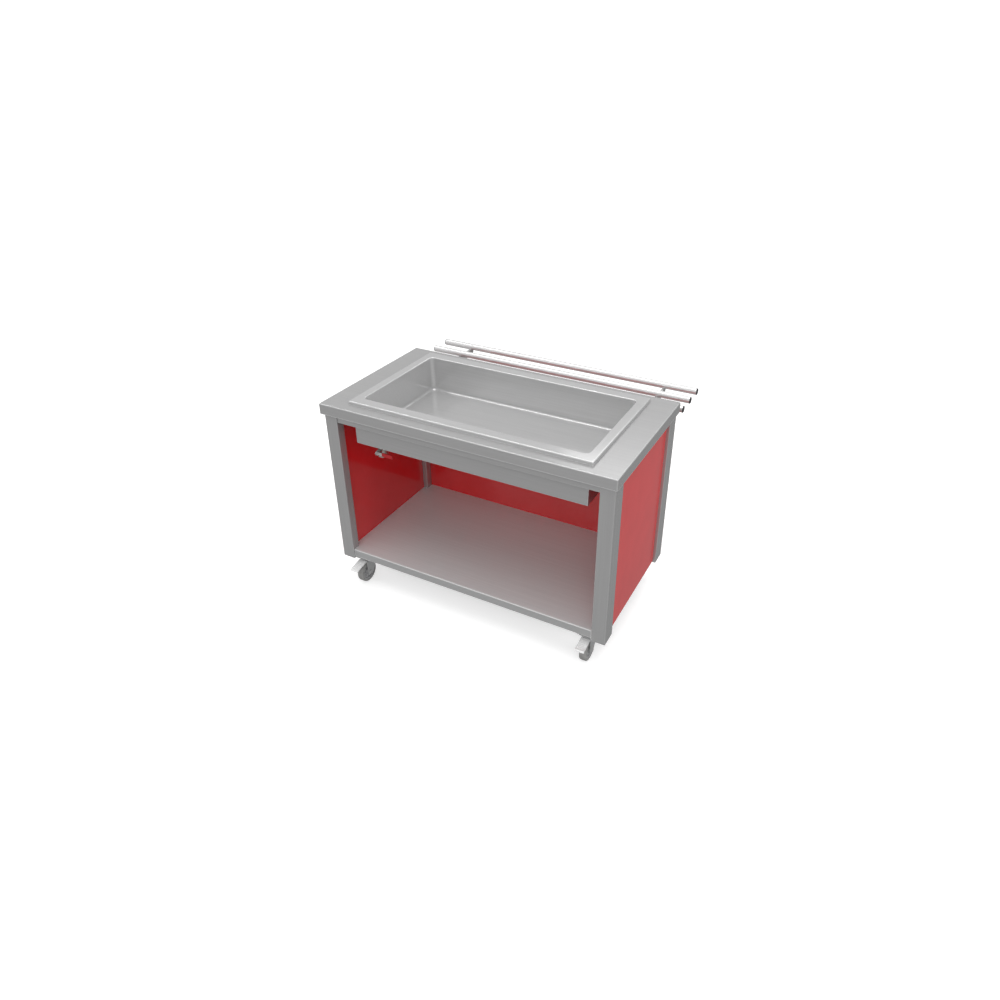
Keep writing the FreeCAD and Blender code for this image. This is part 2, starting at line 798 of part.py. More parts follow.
def valve():
    """Ball valve: body and packing nut stay; ball, stem, lever, grip and nut turn together."""
    at = ("drain_x", "drain_y")
    facing = ("drain_x", "valve_z")
    top = "valve_z + valve_half"
    foot = "valve_z - valve_half"
    centre = ("drain_x", "drain_y", "valve_z")
    barrel = rod("valve_barrel", "z", at,
                 (f"{foot} + valve_collar", f"{top} - valve_collar"), "valve_radius")
    upper = hexagon("valve_upper", "z", at, (f"{top} - valve_collar", top), "valve_hex")
    lower = hexagon("valve_lower", "z", at, (foot, f"{foot} + valve_collar"), "valve_hex")
    boss = rod("valve_boss", "y", facing, ("drain_y - boss_reach", "drain_y"), "boss_radius")
    blank = fuse("valve_blank", barrel, upper, lower, boss)
    fit = "drain_radius + thread_clearance"
    cutters = [
        rod("valve_waterway", "z", at, (f"{foot} - overrun", f"{top} + overrun"), "valve_bore"),
        rod("valve_inlet", "z", at, (f"{top} - socket_depth", f"{top} + overrun"), fit),
        rod("valve_outlet", "z", at, (f"{foot} - overrun", f"{foot} + socket_depth"), fit),
        ball("valve_chamber", "z", centre, "ball_radius + ball_clearance"),
        rod("valve_stem_way", "y", facing, ("drain_y - boss_reach - overrun", "drain_y"),
            "stem_radius + stem_clearance"),
    ]
    node("valve_body", cut("valve_machined", blank, *cutters))
    packing = ("drain_y - boss_reach - packing_thickness", "drain_y - boss_reach")
    sleeve = "stem_radius + stem_clearance"
    node("valve_packing_nut", stem_ring("packing", hexagon, packing, "packing_radius", sleeve))
    sphere = ball("ball_blank", "x", centre, "ball_radius")
    port = rod("ball_port", "x", ("drain_y", "valve_z"),
               ("drain_x - ball_radius - overrun", "drain_x + ball_radius + overrun"), "valve_bore")
    key = rod("ball_key", "y", facing,
              ("drain_y - ball_radius - overrun", "drain_y - stem_depth"), sleeve)
    node("valve_ball", cut("ball_drilled", sphere, port, key))
    tip = "drain_y - stem_depth - thread_clearance"
    node("valve_stem", rod("valve_stem_rod", "y", facing, ("stem_y", tip), "stem_radius"))
    lever()


def stem_ring(name, kind, span, radius, bore):
    """A nut or washer round the valve's stem."""
    facing = ("drain_x", "valve_z")
    blank = kind(f"{name}_blank", "y", facing, span, radius)
    hole = rod(f"{name}_bore", "y", facing, (f"{span[0]} - overrun", f"{span[1]} + overrun"), bore)
    return cut(f"{name}_ring", blank, hole)


def lever():
    """Flat lever across the bore, closed at rest, with a sleeve on its handle."""
    thick = ("lever_y - lever_thickness", "lever_y")
    sleeve = "stem_radius + stem_clearance"
    flat = box("lever_flat", ("drain_x", "drain_x + lever_length"), thick,
               ("valve_z - lever_width / 2", "valve_z + lever_width / 2"))
    eye = rod("lever_eye", "y", ("drain_x", "valve_z"), thick, "lever_hub")
    past = (f"{thick[0]} - overrun", f"{thick[1]} + overrun")
    hole = rod("lever_hole", "y", ("drain_x", "valve_z"), past, sleeve)
    node("valve_lever", cut("lever_drilled", fuse("lever_blank", flat, eye), hole))
    span = ("drain_x + grip_start", "drain_x + lever_length + grip_wall")
    shell = box("grip_shell", span, (f"{thick[0]} - grip_wall", f"{thick[1]} + grip_wall"),
                ("valve_z - lever_width / 2 - grip_wall", "valve_z + lever_width / 2 + grip_wall"))
    shell = soften("grip_skin", shell, "grip_round", lambda edge: not upright(edge))
    reach = "(lever_width / 2 + thread_clearance)"
    slot = box("grip_slot", ("drain_x", "drain_x + lever_length + thread_clearance"),
               (f"{thick[0]} - thread_clearance", f"{thick[1]} + thread_clearance"),
               (f"valve_z - {reach}", f"valve_z + {reach}"))
    node("valve_lever_grip", cut("grip_sleeve", shell, slot))
    nut = (f"{thick[0]} - lever_nut_thickness", thick[0])
    node("valve_lever_nut", stem_ring("lever_nut", hexagon, nut, "lever_nut_radius", sleeve))


def tray_slide():
    """Three tubes with end plugs on two brackets bolted through the back panel."""
    caps = []
    for index, name in enumerate(("front", "middle", "back")):
        across = (f"tray_front_y + {index} * tray_pitch", "tray_z")
        span = ("cap_flange - half_length", "half_length - cap_flange")
        full = rod(f"tray_{name}_full", "x", across, span, "tray_radius")
        past = (f"{span[0]} - overrun", f"{span[1]} + overrun")
        bore = rod(f"tray_{name}_bore", "x", across, past, "tray_radius - tray_wall")
        node(f"tray_rail_{name}", cut(f"tray_{name}_tube", full, bore))
        for side in ("left", "right"):
            disc = rod(f"cap_{name}_{side}_disc", "x", across,
                       mirrored("half_length - cap_flange", "half_length", side), "tray_radius")
            plug = rod(f"cap_{name}_{side}_plug", "x", across,
                       mirrored("half_length - cap_flange - cap_spigot", "half_length", side),
                       "tray_radius - tray_wall - cap_clearance")
            caps.append(fuse(f"cap_{name}_{side}", disc, plug))
    node("tray_rail_caps", group("tray_caps", caps))
    for side in ("left", "right"):
        bracket(side)
    bolts = []
    for spot, x, z in bracket_spots():
        head = hexagon(f"bracket_head_{spot}", "y", (x, z), ("flange_y", "flange_y + bracket_head"),
                       "bracket_head_radius")
        shank = rod(f"bracket_shank_{spot}", "y", (x, z),
                    ("bar_y - bracket_bolt_past", "flange_y"), "bracket_bolt_radius")
        bolts.append(fuse(f"bracket_bolt_{spot}", head, shank))
    node("tray_bracket_bolts", group("tray_bolts", bolts))


def bracket(side):
    """A tapered plate with saddles for the three tubes, welded to a bolted flange."""
    x = mirrored("bracket_x - bracket_thickness / 2", "bracket_x + bracket_thickness / 2", side)
    reach = "tray_front_y + 2 * tray_pitch + bracket_past - flange_y"
    points = [
        ("0", "0"),
        ("0", "-bracket_root"),
        ("bracket_root", "-bracket_root"),
        (reach, "-bracket_tip"),
        (reach, "0"),
    ]
    arm = slab(f"bracket_{side}_arm", points, x, ("flange_y", "bracket_top"))
    flange = box(
        f"bracket_{side}_flange",
        mirrored("bracket_x - flange_half", "bracket_x + flange_half", side),
        ("panel_out_y", "flange_y"),
        ("bracket_top - bracket_root", "tray_z + flange_above"),
    )
    saddles = [
        rod(
            f"bracket_{side}_saddle_{index}",
            "x",
            (f"tray_front_y + {index} * tray_pitch", "tray_z"),
            (f"{x[0]} - overrun", f"{x[1]} + overrun"),
            "tray_radius + saddle_clearance",
        )
        for index in range(3)
    ]
    holes = bracket_holes(f"bracket_{side}", ("panel_out_y - overrun", "flange_y + overrun"))
    welded = fuse(f"bracket_{side}_welded", arm, flange)
    node(f"tray_bracket_{side}", cut(f"bracket_{side}_drilled", welded, *saddles, *holes))


def castor(corner):
    """One swivel castor: plate with its kingpin, fork, axle, hub and tyre."""
    x, y = CORNERS[corner]
    at = (x, y)
    axle_y = f"{y} - castor_trail"
    plate_z = "castor_height - castor_plate"
    flat = box(
        f"plate_{corner}_flat",
        (f"{x} - castor_plate_x", f"{x} + castor_plate_x"),
        (f"{y} - castor_plate_y", f"{y} + castor_plate_y"),
        (plate_z, "castor_height"),
    )
    flat = soften(f"plate_{corner}_skin", flat, "crown_sheet", upright)
    race = rod(f"plate_{corner}_race", "z", at, (f"{plate_z} - race_height", plate_z), "race_radius")
    rivet_z = "crown_under_z - swivel_gap"
    pin = rod(f"plate_{corner}_pin", "z", at, (f"{rivet_z} - rivet_height", plate_z), "kingpin_radius")
    rivet = rod(f"plate_{corner}_rivet", "z", at, (f"{rivet_z} - rivet_height", rivet_z), "rivet_radius")
    holes = [
        rod(f"plate_hole_{spot}", "z", across, (f"{plate_z} - overrun", "castor_height + overrun"),
            "castor_bolt_radius + bolt_clearance")
        for spot, across in bolt_spots(corner)
    ]
    blank = fuse(f"plate_{corner}_blank", flat, race, pin, rivet)
    node(f"castor_plate_{corner}", cut(f"plate_{corner}_drilled", blank, *holes))
    fork(corner, x, y, axle_y)
    bolt = rod(f"axle_{corner}_rod", "x", (axle_y, "wheel_radius"),
               (f"{x} - fork_gap - fork_sheet - axle_head", f"{x} + fork_gap + fork_sheet + axle_head"),
               "axle_radius")
    ends = [
        hexagon(f"axle_{corner}_{name}", "x", (axle_y, "wheel_radius"), span, "axle_head_radius")
        for name, span in (
            ("head", (f"{x} + fork_gap + fork_sheet", f"{x} + fork_gap + fork_sheet + axle_head")),
            ("nut", (f"{x} - fork_gap - fork_sheet - axle_head", f"{x} - fork_gap - fork_sheet")),
        )
    ]
    node(f"castor_axle_{corner}", fuse(f"axle_{corner}_bolt", bolt, *ends))
    wheel(corner, (x, axle_y, "wheel_radius"))


def fork(corner, x, y, axle_y):
    """Pressed fork: two cheeks under a crown with the lower bearing cup."""
    front = corner.startswith("front")
    nose = "fork_ear" if front else "crown_front + fork_sheet"
    points = [
        ("crown_back", "crown_z"),
        ("crown_back", "crown_z - crown_skirt"),
        ("fork_boss - castor_trail", "wheel_radius - fork_boss"),
        ("-castor_trail - fork_boss", "wheel_radius - fork_boss"),
        (f"-({nose})", "crown_z - fork_ear_drop"),
        (f"-({nose})", "crown_z"),
    ]
    cheeks = [
        slab(f"fork_{corner}_{side}", points, span, (y, "0"))
        for side, span in (
            ("inner", (f"{x} - fork_gap - fork_sheet", f"{x} - fork_gap")),
            ("outer", (f"{x} + fork_gap", f"{x} + fork_gap + fork_sheet")),
        )
    ]
    across = (f"{x} - fork_gap - fork_sheet", f"{x} + fork_gap + fork_sheet")
    crown = box(f"fork_{corner}_crown", across, (f"{y} - crown_front", f"{y} + crown_back"),
                ("crown_under_z", "crown_z"))
    cup = rod(f"fork_{corner}_cup", "z", (x, y), ("crown_z", "crown_z + cup_height"), "cup_radius")
    parts = [*cheeks, crown, cup]
    if front:
        pivot = (f"{y} - pedal_pivot_y", "pivot_z")
        parts.append(rod(f"fork_{corner}_pin", "x", pivot, across, "pedal_pin"))
    upright_span = ("crown_under_z - overrun", "crown_z + cup_height + overrun")
    king = rod(f"fork_{corner}_king", "z", (x, y), upright_span, "kingpin_radius + kingpin_clearance")
    eye = rod(f"fork_{corner}_eye", "x", (axle_y, "wheel_radius"),
              (f"{across[0]} - overrun", f"{across[1]} + overrun"), "axle_radius + axle_clearance")
    blank = fuse(f"fork_{corner}_blank", *parts)
    node(f"castor_fork_{corner}", cut(f"fork_{corner}_pierced", blank, king, eye))


def wheel(corner, at):
    """Spool-shaped hub on the axle and the tyre round its rim."""
    rim = "rim_radius - tyre_clearance"
    bore = "axle_radius + axle_clearance"
    half = [
        ("hub_half", bore),
        ("hub_half", "hub_radius"),
        ("web_half", "hub_radius"),
        ("web_half", f"{rim} - hub_rim_depth"),
        ("hub_rim", f"{rim} - hub_rim_depth"),
        ("hub_rim", rim),
    ]
    other = [(f"-{across}", radius) for across, radius in reversed(half)]
    node(f"castor_hub_{corner}", turned(f"hub_{corner}", half + other, at))
    ring = [
        ("-wheel_width / 2", "rim_radius"),
        ("wheel_width / 2", "rim_radius"),
        ("wheel_width / 2", "wheel_radius"),
        ("-wheel_width / 2", "wheel_radius"),
    ]
    tyre = turned(f"tyre_{corner}", ring, at)
    doc.recompute()
    blank = tyre.Tip
    tread = value("wheel_radius - tyre_round")
    rims = [
        f"Edge{index}"
        for index, edge in enumerate(blank.Shape.Edges, start=1)
        if isinstance(edge.Curve, Part.Circle) and edge.Curve.Radius > tread
    ]
    shoulder = tyre.newObject("PartDesign::Fillet", f"tyre_{corner}_shoulder")
    shoulder.Base = (blank, rims)
    bind(shoulder, "Radius", "tyre_round")
    node(f"castor_tyre_{corner}", tyre)


def pedal(corner):
    """Brake pedal hinged between the fork's ears, with a shoe over the tyre."""
    x, y = CORNERS[corner]
    at = (f"{y} - pedal_pivot_y", "pivot_z")
    tip = "pedal_reach - pedal_pivot_y"
    root = "fork_ear - pedal_pivot_y + pedal_ear_gap"
    top = "pedal_barrel + pedal_rise"
    drop = f"({top} - pedal_slope)"
    neck = [
        ("0", "-pedal_pin"),
        ("0", "pedal_barrel"),
        ("-pedal_barrel", top),
        (f"-({root}) - pedal_sheet", top),
        (f"-({root}) - pedal_sheet", f"{top} - pedal_sheet"),
        ("-pedal_barrel", f"{top} - pedal_sheet"),
        ("-pedal_pin", "-pedal_pin"),
    ]
    tread = [
        (f"-({root})", top),
        (f"-({tip}) + pedal_bend", drop),
        (f"-({tip})", f"{drop} - pedal_bend"),
        (f"-({tip})", f"{drop} - pedal_lip"),
        (f"-({tip}) + pedal_sheet", f"{drop} - pedal_lip"),
        (f"-({tip}) + pedal_sheet", f"{drop} - pedal_bend"),
        (f"-({tip}) + pedal_bend + pedal_sheet / 2", f"{drop} - pedal_sheet"),
        (f"-({root})", f"{top} - pedal_sheet"),
    ]
    shoe = [
        ("-shoe_start", "0"),
        ("-shoe_start", "-shoe_drop"),
        ("-shoe_start - shoe_length", "-shoe_drop"),
        ("-shoe_start - shoe_length", "0"),
        ("-shoe_start - shoe_length", "pedal_barrel"),
        ("-shoe_start", "pedal_barrel"),
    ]
    narrow = (f"{x} - fork_gap + pedal_side_gap", f"{x} + fork_gap - pedal_side_gap")
    pieces = [
        slab(f"pedal_{corner}_neck", neck, narrow, at),
        slab(f"pedal_{corner}_tread", tread, (f"{x} - pedal_half", f"{x} + pedal_half"), at),
        slab(f"pedal_{corner}_shoe", shoe, (f"{x} - shoe_half", f"{x} + shoe_half"), at),
        rod(f"pedal_{corner}_barrel", "x", at, narrow, "pedal_barrel"),
    ]
    past = (f"{narrow[0]} - overrun", f"{narrow[1]} + overrun")
    hole = rod(f"pedal_{corner}_hole", "x", at, past, "pedal_pin + axle_clearance")
    blank = fuse(f"pedal_{corner}_blank", *pieces)
    node(f"brake_pedal_{corner}", cut(f"pedal_{corner}_drilled", blank, hole))


def castor_bolts():
    """Hex bolts that hold the four castor plates to the tapped pads."""
    bolts = []
    plate_z = "castor_height - castor_plate"
    tip_z = "castor_height + tap_depth - thread_clearance"
    for corner in CORNERS:
        for spot, across in bolt_spots(corner):
            head = hexagon(f"castor_head_{spot}", "z", across, (f"{plate_z} - castor_head", plate_z),
                           "castor_head_radius")
            shank = rod(f"castor_shank_{spot}", "z", across, (plate_z, tip_z), "castor_bolt_radius")
            bolts.append(fuse(f"castor_bolt_{spot}", head, shank))
    node("castor_bolts", group("castor_bolt_kit", bolts))


worktop()
ice_well()
casing()
frame()
panels()
shelf()
drain()
valve()
tray_slide()
for corner_name in CORNERS:
    castor(corner_name)
for corner_name in ("front_left", "front_right"):
    pedal(corner_name)
castor_bolts()

doc.recompute()
for item in doc.Objects:
    if {"Invalid", "Error"} & set(item.State):
        raise RuntimeError(f"{item.Name} did not build: {item.State}")
for item in nodes:
    if item.Shape.isNull() or not item.Shape.isValid() or not item.Shape.Solids:
        raise RuntimeError(f"{item.Label} has no valid solid")

os.makedirs("parts", exist_ok=True)
for item in nodes:
    item.Shape.exportStep(f"parts/{item.Label}.step")
print(len(nodes), "sub-parts written")
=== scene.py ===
import json
import math

import bmesh
import bpy
from mathutils import Matrix, Vector


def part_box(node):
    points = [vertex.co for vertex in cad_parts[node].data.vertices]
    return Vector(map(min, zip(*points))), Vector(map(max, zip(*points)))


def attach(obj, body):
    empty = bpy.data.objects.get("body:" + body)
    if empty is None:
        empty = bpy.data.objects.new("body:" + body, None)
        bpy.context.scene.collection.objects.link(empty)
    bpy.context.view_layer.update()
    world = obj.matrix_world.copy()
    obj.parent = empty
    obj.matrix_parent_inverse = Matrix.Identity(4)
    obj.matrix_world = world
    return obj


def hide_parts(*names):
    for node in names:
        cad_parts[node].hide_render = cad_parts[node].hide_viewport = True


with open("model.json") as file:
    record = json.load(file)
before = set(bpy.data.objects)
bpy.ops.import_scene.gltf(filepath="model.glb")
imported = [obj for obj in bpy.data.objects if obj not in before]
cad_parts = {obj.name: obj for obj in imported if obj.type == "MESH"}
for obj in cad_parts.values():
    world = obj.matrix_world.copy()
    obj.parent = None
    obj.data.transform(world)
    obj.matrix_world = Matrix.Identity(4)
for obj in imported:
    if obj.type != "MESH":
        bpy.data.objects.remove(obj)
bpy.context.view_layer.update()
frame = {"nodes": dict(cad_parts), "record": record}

# Ice display counter: finishes, fine detail, studio light and camera. Metres, +Z up, +X along the
# counter, the open service side faces -Y.

nodes = frame["nodes"]
record = frame["record"]
slot_of = {row["node"]: row["material_slot"] for row in record["subparts"]}
joint_at = {row["name"]: Vector(row["pos_m"]) for row in record["behaviour"]["joints"]}

# Camera fitted to the photograph: metres from the middle of the worktop's floor plan, degrees, and
# pixels of its square frame.
IMAGE_PIXELS = 1000
FOCAL_PIXELS = 769.9
CENTRE_PIXEL = (523.7, 467.1)
CAMERA_OFFSET = (1.3902, -2.4832)
CAMERA_HEIGHT = 2.2480
CAMERA_YAW = -27.302
CAMERA_PITCH = -30.132
CAMERA_ROLL = 0.222
SENSOR_MM = 36.0

# Sheets with their own copy of the satin steel, differing from that of the other steel: the worktop's
# and well's painted edge highlight reaches further, the well and shelf differ in tone and gloss, and
# the shelf's upright faces carry painted shade.
OWN_FINISH = {"worktop": "top_steel", "ice_well": "well_steel", "storage_shelf": "shelf_steel"}

# Castors, and those that have a brake.
CORNERS = ("front_left", "front_right", "back_left", "back_right")
BRAKED_CORNERS = ("front_left", "front_right")

# Steps of round shapes, and the angle above which an edge stays sharp.
RING_POINTS = 24
LOOP_STEPS = 4
GROUND_SIDES = 48
SHARP_ANGLE = math.radians(32.0)

# Bolts: half their spacing or their heights, and the height of their heads with the washer.
CASTOR_PLATE_THICKNESS = 0.004
CASTOR_BOLT_X = 0.03
CASTOR_BOLT_Y = 0.04
CASTOR_BOLT_LENGTH = 0.0089
CASTOR_BOLT_HEAD = 0.005
BRACKET_BOLT_X = 0.022
BRACKET_BOLT_HEIGHTS = (0.008, 0.032)
BRACKET_BOLT_HEAD = 0.0055

# Spokes of the wheels: radius, half width and outer face at the hub and at the rim.
HUB_RIBS = 8
RIB_ENDS = ((0.0124, 0.0019, 0.0145), (0.0344, 0.0013, 0.0105))
RIB_ROOT = 0.0045
RIB_TAPER = 0.7
RIB_CHAMFER = 0.0004

# Ridges of a brake pedal: the tread's start from the pivot, its fall, and rows of along and up.
PEDAL_RIDGES = 5
TREAD_START = (0.0, -0.010, 0.0105)
TREAD_FALL = (0.0, -0.061, -0.012)
PEDAL_RIDGE_START = 0.020
PEDAL_RIDGE_STEP = 0.008
PEDAL_RIDGE_HALF = 0.016
PEDAL_RIDGE_CHAMFER = 0.0003
PEDAL_RIDGE_SECTION = ((-0.0014, -0.0006), (0.0014, -0.0006), (0.0008, 0.0009), (-0.0008, 0.0009))

# Bands of the lever's sleeve: rows of along and out.
GRIP_RIDGES = 5
GRIP_RIDGE_START = 0.012
GRIP_RIDGE_STEP = 0.0065
GRIP_CORNER = 0.002
GRIP_RIDGE_SECTION = (
    (0.0, -0.0008), (0.0, 0.0), (0.0004, 0.0004), (0.0016, 0.0004), (0.002, 0.0), (0.002, -0.0008),
)

# Sockets of the Mix node when it mixes colours, rays for each rounded edge, and the cosine of the
# turn below which a surface counts as flat.
MIX_FACTOR, MIX_A, MIX_B, MIX_RESULT = 0, 6, 7, 2
BEVEL_SAMPLES = 4
FLAT_COSINE = 0.995

# Tones of brushed sheet against its mean: dark and light streaks, and the painted highlight along its
# edges.
STREAK_DARK, STREAK_LIGHT, EDGE_HIGHLIGHT = 0.97, 1.03, 1.9


class Finish:
    """One procedural material, built around its Principled shader."""

    def __init__(self, name, settings, edge_radius=0.0006):
        self.material = bpy.data.materials.new(name)
        self.material.use_nodes = True
        tree = self.material.node_tree
        self.nodes = tree.nodes
        self.links = tree.links
        self.shader = self.nodes["Principled BSDF"]
        self.place = self.add("ShaderNodeTexCoord", {}).outputs["Object"]
        self.rounded = self.softened(edge_radius)
        for socket, value in settings.items():
            self.shader.inputs[socket].default_value = value

    def add(self, kind, inputs, **settings):
        """A node with its settings; each input is a plain value or another node's output."""
        made = self.nodes.new(kind)
        for name, value in settings.items():
            setattr(made, name, value)
        for socket, source in inputs.items():
            if isinstance(source, bpy.types.NodeSocket):
                self.links.new(source, made.inputs[socket])
            else:
                made.inputs[socket].default_value = source
        return made

    def drive(self, socket, source):
        """Feed one of the shader's sockets from a node."""
        self.links.new(source, self.shader.inputs[socket])

    def softened(self, radius):
        """The surface's direction with its edges rounded."""
        made = self.add("ShaderNodeBevel", {"Radius": radius}, samples=BEVEL_SAMPLES)
        return made.outputs["Normal"]

    def noise(self, cells, detail=2.0):
        """Noise with so many cells per metre on each axis."""
        spread = self.add("ShaderNodeMapping", {"Vector": self.place, "Scale": cells})
        inputs = {"Vector": spread.outputs["Vector"], "Scale": 1.0, "Detail": detail}
        return self.add("ShaderNodeTexNoise", inputs).outputs["Fac"]

    def flakes(self, cells):
        """Flat cells of random tone, so many per metre."""
        made = self.add("ShaderNodeTexVoronoi", {"Vector": self.place, "Scale": cells})
        return made.outputs["Color"]

    def level(self, amount, low, high, start=0.3, end=0.7):
        """An amount between start and end, spread between two values."""
        inputs = {
            "Value": amount, "From Min": start, "From Max": end, "To Min": low, "To Max": high,
        }
        return self.add("ShaderNodeMapRange", inputs).outputs["Result"]

    def mix(self, amount, first, second):
        """One colour turning into another by an amount."""
        inputs = {MIX_FACTOR: amount, MIX_A: first, MIX_B: second}
        return self.add("ShaderNodeMix", inputs, data_type="RGBA").outputs[MIX_RESULT]

    def edges(self, reach, full=0.75):
        """How near a sharp edge lies: 0 on flats, 1 where its rounding turns past the cosine full."""
        rounded = self.softened(reach)
        flat = self.add("ShaderNodeNewGeometry", {})
        inputs = {0: rounded, 1: flat.outputs["Normal"]}
        alike = self.add("ShaderNodeVectorMath", inputs, operation="DOT_PRODUCT").outputs["Value"]
        return self.level(alike, 1.0, 0.0, start=full, end=FLAT_COSINE)

    def upward(self):
        """How far the surface faces up: 0 on upright faces, 1 on level ones."""
        normal = self.add("ShaderNodeNewGeometry", {}).outputs["Normal"]
        parts = self.add("ShaderNodeSeparateXYZ", {"Vector": normal})
        return self.level(parts.outputs["Z"], 0.0, 1.0, start=0.1, end=0.5)

    def relief(self, height, depth):
        """Raise and sink the surface by a height map of so many metres, over softened edges."""
        inputs = {"Height": height, "Distance": depth, "Normal": self.rounded}
        self.drive("Normal", self.add("ShaderNodeBump", inputs).outputs["Normal"])


def grey(tone, warmth=0.0):
    """An opaque grey; warmth shifts it from blue to red."""
    return (tone * (1 + warmth), tone, tone * (1 - warmth), 1.0)


def tinted(colour):
    """A colour made opaque."""
    return (*colour, 1.0)


def grained(axis, fine, long):
    """Cells per metre for a grain that runs along one axis."""
    return tuple(long if index == axis else fine for index in range(3))


def brushed_steel(name, axis, tone, metallic, roughness, upright=1.0, edge=0.0025):
    """Satin stainless with a brushed grain along one axis and a painted highlight along its edges.

    Upright faces may take another share of the tone as painted shade, and edge is how far the painted
    highlight reaches.
    """
    finish = Finish(name, {"Metallic": metallic, "Specular IOR Level": 0.3}, edge_radius=0.0022)
    streaks = finish.noise(grained(axis, 140.0, 2.2), detail=4.0)
    smudges = finish.noise((4.0, 4.0, 4.0), detail=0.0)
    hairs = finish.noise(grained(axis, 1500.0, 14.0), detail=3.0)
    grain = finish.level(streaks, 0.0, 1.0)
    sheet = finish.mix(grain, grey(tone * STREAK_DARK), grey(tone * STREAK_LIGHT))
    # Upright faces get a darker copy of the streaked tone: painted shade.
    if upright != 1.0:
        lip_tone = tone * upright
        lip = finish.mix(grain, grey(lip_tone * STREAK_DARK), grey(lip_tone * STREAK_LIGHT))
        sheet = finish.mix(finish.upward(), lip, sheet)
    # Lighter colour near sharp edges is a painted highlight.
    painted_edge_highlight = finish.edges(edge, full=0.94)
    finish.drive("Base Color", finish.mix(painted_edge_highlight, sheet, grey(min(1.0, tone * EDGE_HIGHLIGHT))))
    finish.drive("Roughness", finish.level(smudges, roughness - 0.03, roughness + 0.03, 0.0, 1.0))
    finish.relief(hairs, 0.000008)
    return finish.material


def bright_metal(name, tone, roughness, warmth=0.0, metallic=1.0):
    """Polished or plated metal with faint polishing marks and handling smudges."""
    finish = Finish(name, {"Metallic": metallic}, edge_radius=0.0003)
    marks = finish.noise((220.0, 60.0, 220.0), detail=4.0)
    smudges = finish.noise((18.0, 18.0, 18.0), detail=3.0)
    dull = grey(tone * 0.94, warmth)
    clear = grey(tone * 1.05, warmth)
    sheet = finish.mix(finish.level(marks, 0.0, 1.0), dull, clear)
    worn = grey(min(1.0, tone * 1.25), warmth)
    finish.drive("Base Color", finish.mix(finish.edges(0.0012), sheet, worn))
    finish.drive("Roughness", finish.level(smudges, roughness * 0.8, roughness * 1.3))
    finish.relief(marks, 0.00001)
    return finish.material


def zinc_plate(name, tone):
    """Zinc plating with its fine crystal flakes."""
    finish = Finish(name, {"Metallic": 0.7})
    flakes = finish.flakes(420.0)
    clouds = finish.noise((30.0, 30.0, 30.0), detail=3.0)
    dull = grey(tone * 0.88)
    clear = grey(tone * 1.1)
    plate = finish.mix(finish.level(flakes, 0.0, 1.0, 0.0, 1.0), dull, clear)
    finish.drive("Base Color", finish.mix(finish.edges(0.0012), plate, grey(tone * 1.5)))
    finish.drive("Roughness", finish.level(clouds, 0.3, 0.46))
    finish.relief(clouds, 0.00004)
    return finish.material


def gloss_laminate(name, dark, light, edge):
    """Gloss laminate on board: a faint waviness and a slightly worn edge."""
    finish = Finish(name, {"IOR": 2.1}, edge_radius=0.001)
    clouds = finish.noise((9.0, 9.0, 9.0), detail=4.0)
    peel = finish.noise((160.0, 160.0, 160.0), detail=2.0)
    face = finish.mix(finish.level(clouds, 0.0, 1.0), tinted(dark), tinted(light))
    finish.drive("Base Color", finish.mix(finish.edges(0.002), face, tinted(edge)))
    finish.drive("Roughness", finish.level(clouds, 0.05, 0.1))
    finish.relief(peel, 0.00001)
    return finish.material


def moulded(name, dark, light, roughness, grain, depth):
    """Moulded plastic or rubber with a fine grain and scuffed edges."""
    finish = Finish(name, {"IOR": 1.45})
    clouds = finish.noise((40.0, 40.0, 40.0), detail=4.0)
    skin = finish.noise((grain, grain, grain), detail=3.0)
    body = finish.mix(finish.level(clouds, 0.0, 1.0), tinted(dark), tinted(light))
    scuffed = tuple(min(1.0, 0.04 + 1.4 * part) for part in light)
    finish.drive("Base Color", finish.mix(finish.edges(0.0015), body, tinted(scuffed)))
    finish.drive("Roughness", finish.level(clouds, roughness - 0.08, roughness + 0.08))
    finish.relief(skin, depth)
    return finish.material


def foam(name):
    """Closed-cell foam: small rounded cells in a pale body."""
    finish = Finish(name, {"Roughness": 0.9})
    cells = finish.flakes(500.0)
    shade = finish.level(cells, 0.0, 1.0, 0.0, 1.0)
    body = finish.mix(shade, tinted((0.62, 0.54, 0.36)), tinted((0.78, 0.7, 0.5)))
    finish.drive("Base Color", body)
    finish.relief(cells, 0.0004)
    return finish.material


def longest_axis(name):
    """The axis along which a node is longest: sheet and tube are brushed that way."""
    low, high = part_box(name)
    sizes = list(high - low)
    return sizes.index(max(sizes))


